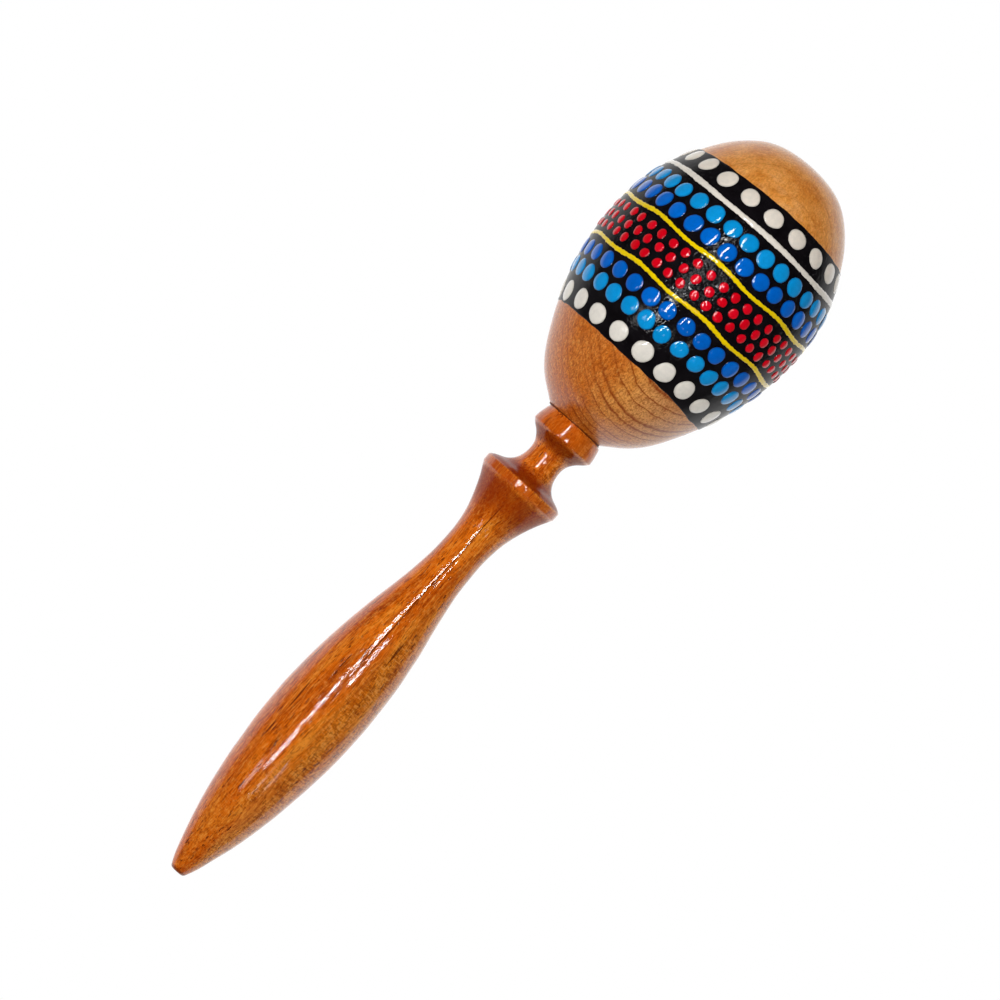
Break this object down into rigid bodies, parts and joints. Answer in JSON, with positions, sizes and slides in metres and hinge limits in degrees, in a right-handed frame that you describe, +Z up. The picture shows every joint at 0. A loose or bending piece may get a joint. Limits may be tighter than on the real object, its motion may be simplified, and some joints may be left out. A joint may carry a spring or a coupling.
{
  "type": "maraca",
  "caption": "Turned wooden shaker: a tapered handle with a flared collar carries a hollow egg-shaped head with a painted band of raised dots and loose seeds inside.",
  "frame": {"origin": "on the floor under the middle of the maraca's box, as it lies at rest on its grip and its head", "axes": "+X from the butt of the handle towards the crown of the head, +Z up; the maraca's own axis leans 7.11 degrees up towards the head"},
  "size_m": [0.2386, 0.0616, 0.062],
  "materials": {
    "handle_wood": "gloss",
    "head_wood": "gloss",
    "black_paint": "gloss",
    "white_paint": "gloss",
    "sky_blue_paint": "gloss",
    "deep_blue_paint": "gloss",
    "red_paint": "gloss",
    "yellow_paint": "gloss",
    "glue_line": "gloss",
    "seed": "satin"
  },
  "bodies": {
    "root": {"handle": "handle_wood", "head_lower": "head_wood", "head_upper": "head_wood", "painted_band": "black_paint"},
    "seed_01_body": {"seed_01": "seed"},
    "seed_02_body": {"seed_02": "seed"},
    "seed_03_body": {"seed_03": "seed"},
    "seed_04_body": {"seed_04": "seed"},
    "seed_05_body": {"seed_05": "seed"},
    "seed_06_body": {"seed_06": "seed"},
    "seed_07_body": {"seed_07": "seed"},
    "seed_08_body": {"seed_08": "seed"},
    "seed_09_body": {"seed_09": "seed"},
    "seed_10_body": {"seed_10": "seed"},
    "seed_11_body": {"seed_11": "seed"},
    "seed_12_body": {"seed_12": "seed"},
    "seed_13_body": {"seed_13": "seed"},
    "seed_14_body": {"seed_14": "seed"},
    "seed_15_body": {"seed_15": "seed"},
    "seed_16_body": {"seed_16": "seed"},
    "seed_17_body": {"seed_17": "seed"},
    "seed_18_body": {"seed_18": "seed"},
    "seed_19_body": {"seed_19": "seed"},
    "seed_20_body": {"seed_20": "seed"},
    "seed_21_body": {"seed_21": "seed"},
    "seed_22_body": {"seed_22": "seed"},
    "seed_23_body": {"seed_23": "seed"},
    "seed_24_body": {"seed_24": "seed"}
  },
  "joints": [
    {"name": "seed_01_rattle", "type": "slide", "parent": "root", "child": "seed_01_body", "axis": [0, 0, 1], "range_m": [0, 0.04169]},
    {"name": "seed_02_rattle", "type": "slide", "parent": "root", "child": "seed_02_body", "axis": [0, 0, 1], "range_m": [0, 0.04467]},
    {"name": "seed_03_rattle", "type": "slide", "parent": "root", "child": "seed_03_body", "axis": [0, 0, 1], "range_m": [0, 0.04685]},
    {"name": "seed_04_rattle", "type": "slide", "parent": "root", "child": "seed_04_body", "axis": [0, 0, 1], "range_m": [0, 0.04809]},
    {"name": "seed_05_rattle", "type": "slide", "parent": "root", "child": "seed_05_body", "axis": [0, 0, 1], "range_m": [0, 0.04802]},
    {"name": "seed_06_rattle", "type": "slide", "parent": "root", "child": "seed_06_body", "axis": [0, 0, 1], "range_m": [0, 0.04717]},
    {"name": "seed_07_rattle", "type": "slide", "parent": "root", "child": "seed_07_body", "axis": [0, 0, 1], "range_m": [0, 0.04244]},
    {"name": "seed_08_rattle", "type": "slide", "parent": "root", "child": "seed_08_body", "axis": [0, 0, 1], "range_m": [0, 0.04491]},
    {"name": "seed_09_rattle", "type": "slide", "parent": "root", "child": "seed_09_body", "axis": [0, 0, 1], "range_m": [0, 0.04657]},
    {"name": "seed_10_rattle", "type": "slide", "parent": "root", "child": "seed_10_body", "axis": [0, 0, 1], "range_m": [0, 0.04744]},
    {"name": "seed_11_rattle", "type": "slide", "parent": "root", "child": "seed_11_body", "axis": [0, 0, 1], "range_m": [0, 0.04681]},
    {"name": "seed_12_rattle", "type": "slide", "parent": "root", "child": "seed_12_body", "axis": [0, 0, 1], "range_m": [0, 0.04238]},
    {"name": "seed_13_rattle", "type": "slide", "parent": "root", "child": "seed_13_body", "axis": [0, 0, 1], "range_m": [0, 0.0449]},
    {"name": "seed_14_rattle", "type": "slide", "parent": "root", "child": "seed_14_body", "axis": [0, 0, 1], "range_m": [0, 0.04645]},
    {"name": "seed_15_rattle", "type": "slide", "parent": "root", "child": "seed_15_body", "axis": [0, 0, 1], "range_m": [0, 0.0473]},
    {"name": "seed_16_rattle", "type": "slide", "parent": "root", "child": "seed_16_body", "axis": [0, 0, 1], "range_m": [0, 0.04684]},
    {"name": "seed_17_rattle", "type": "slide", "parent": "root", "child": "seed_17_body", "axis": [0, 0, 1], "range_m": [0, 0.04068]},
    {"name": "seed_18_rattle", "type": "slide", "parent": "root", "child": "seed_18_body", "axis": [0, 0, 1], "range_m": [0, 0.04274]},
    {"name": "seed_19_rattle", "type": "slide", "parent": "root", "child": "seed_19_body", "axis": [0, 0, 1], "range_m": [0, 0.04377]},
    {"name": "seed_20_rattle", "type": "slide", "parent": "root", "child": "seed_20_body", "axis": [0, 0, 1], "range_m": [0, 0.04405]},
    {"name": "seed_21_rattle", "type": "slide", "parent": "root", "child": "seed_21_body", "axis": [0, 0, 1], "range_m": [0, 0.04047]},
    {"name": "seed_22_rattle", "type": "slide", "parent": "root", "child": "seed_22_body", "axis": [0, 0, 1], "range_m": [0, 0.04296]},
    {"name": "seed_23_rattle", "type": "slide", "parent": "root", "child": "seed_23_body", "axis": [0, 0, 1], "range_m": [0, 0.04409]},
    {"name": "seed_24_rattle", "type": "slide", "parent": "root", "child": "seed_24_body", "axis": [0, 0, 1], "range_m": [0, 0.04407]}
  ]
}
